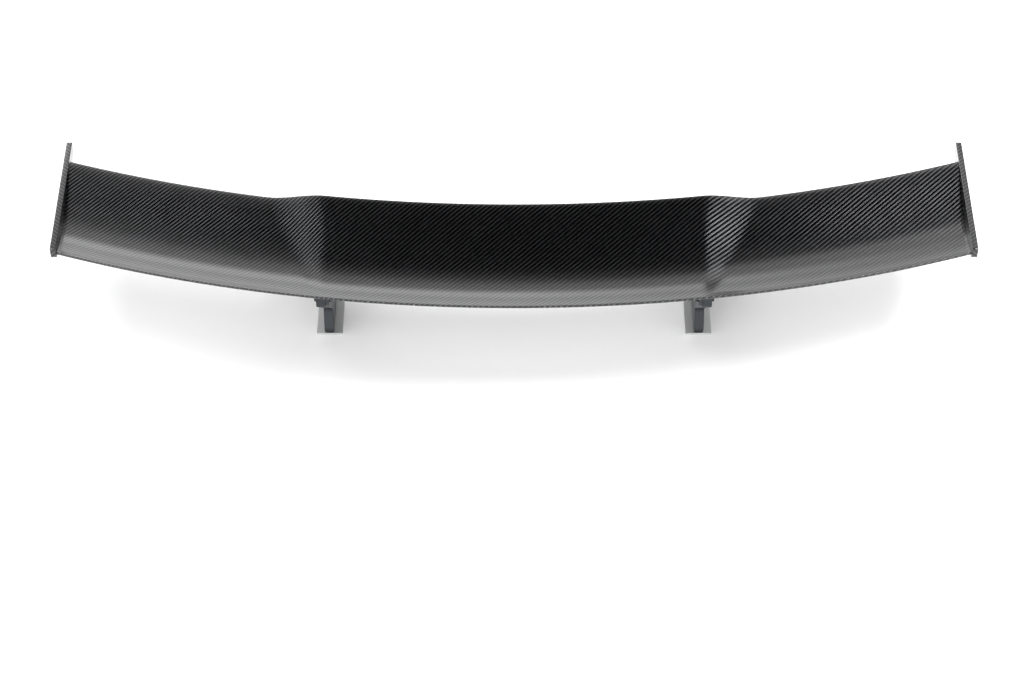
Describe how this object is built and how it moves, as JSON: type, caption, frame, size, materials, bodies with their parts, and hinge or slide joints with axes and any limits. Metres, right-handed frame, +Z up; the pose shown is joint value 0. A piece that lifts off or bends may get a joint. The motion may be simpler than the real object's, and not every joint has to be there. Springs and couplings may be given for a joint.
{
  "type": "racing rear wing",
  "caption": "Swept carbon rear wing with end plates, on two machined uprights that clamp through a boot lid and let its angle of attack be set.",
  "frame": {"origin": "centre of the part's footprint, at the height of the bolt heads it stands on", "axes": "+X across the car from left to right, +Y towards the car's front, +Z up"},
  "size_m": [1.5196, 0.3946, 0.2168],
  "materials": {
    "carbon_weave": "clear-coated 2x2 twill carbon, gloss",
    "carbon_inner": "uncoated carbon, matt",
    "machined_alloy": "machined",
    "black_anodised": "black anodised, satin",
    "gasket_rubber": "matt black foam rubber",
    "brushed_plate": "brushed, light grey",
    "zinc_steel": "bright zinc plate",
    "black_steel": "black oxide, satin"
  },
  "bodies": {
    "mount": {"upright_left": "black_anodised", "gasket_left": "gasket_rubber", "backing_plate_left": "brushed_plate", "foot_bolt_left_1": "zinc_steel", "lock_washer_left_1": "zinc_steel", "flat_washer_left_1": "zinc_steel", "foot_bolt_left_2": "zinc_steel", "lock_washer_left_2": "zinc_steel", "flat_washer_left_2": "zinc_steel", "foot_bolt_left_3": "zinc_steel", "lock_washer_left_3": "zinc_steel", "flat_washer_left_3": "zinc_steel", "pivot_screw_left": "black_steel", "pivot_nut_left": "black_steel", "setting_screw_left": "black_steel", "setting_nut_left": "black_steel", "upright_right": "black_anodised", "gasket_right": "gasket_rubber", "backing_plate_right": "brushed_plate", "foot_bolt_right_1": "zinc_steel", "lock_washer_right_1": "zinc_steel", "flat_washer_right_1": "zinc_steel", "foot_bolt_right_2": "zinc_steel", "lock_washer_right_2": "zinc_steel", "flat_washer_right_2": "zinc_steel", "foot_bolt_right_3": "zinc_steel", "lock_washer_right_3": "zinc_steel", "flat_washer_right_3": "zinc_steel", "pivot_screw_right": "black_steel", "pivot_nut_right": "black_steel", "setting_screw_right": "black_steel", "setting_nut_right": "black_steel"},
    "wing": {"blade_upper_skin": "carbon_weave", "blade_lower_skin": "carbon_weave", "front_spar": "carbon_inner", "rear_spar": "carbon_inner", "end_rib_left": "machined_alloy", "hardpoint_left": "machined_alloy", "end_plate_left": "carbon_weave", "wing_bracket_left": "black_anodised", "end_plate_screw_left_front": "black_steel", "bracket_screw_left_front": "black_steel", "end_plate_screw_left_rear": "black_steel", "bracket_screw_left_rear": "black_steel", "end_rib_right": "machined_alloy", "hardpoint_right": "machined_alloy", "end_plate_right": "carbon_weave", "wing_bracket_right": "black_anodised", "end_plate_screw_right_front": "black_steel", "bracket_screw_right_front": "black_steel", "end_plate_screw_right_rear": "black_steel", "bracket_screw_right_rear": "black_steel"}
  },
  "joints": [
    {"name": "attack_angle", "type": "hinge", "parent": "mount", "child": "wing", "pos_m": [0, -0.14694, 0.1752], "axis": [-1, 0, 0], "range_deg": [0, 10.5]}
  ]
}
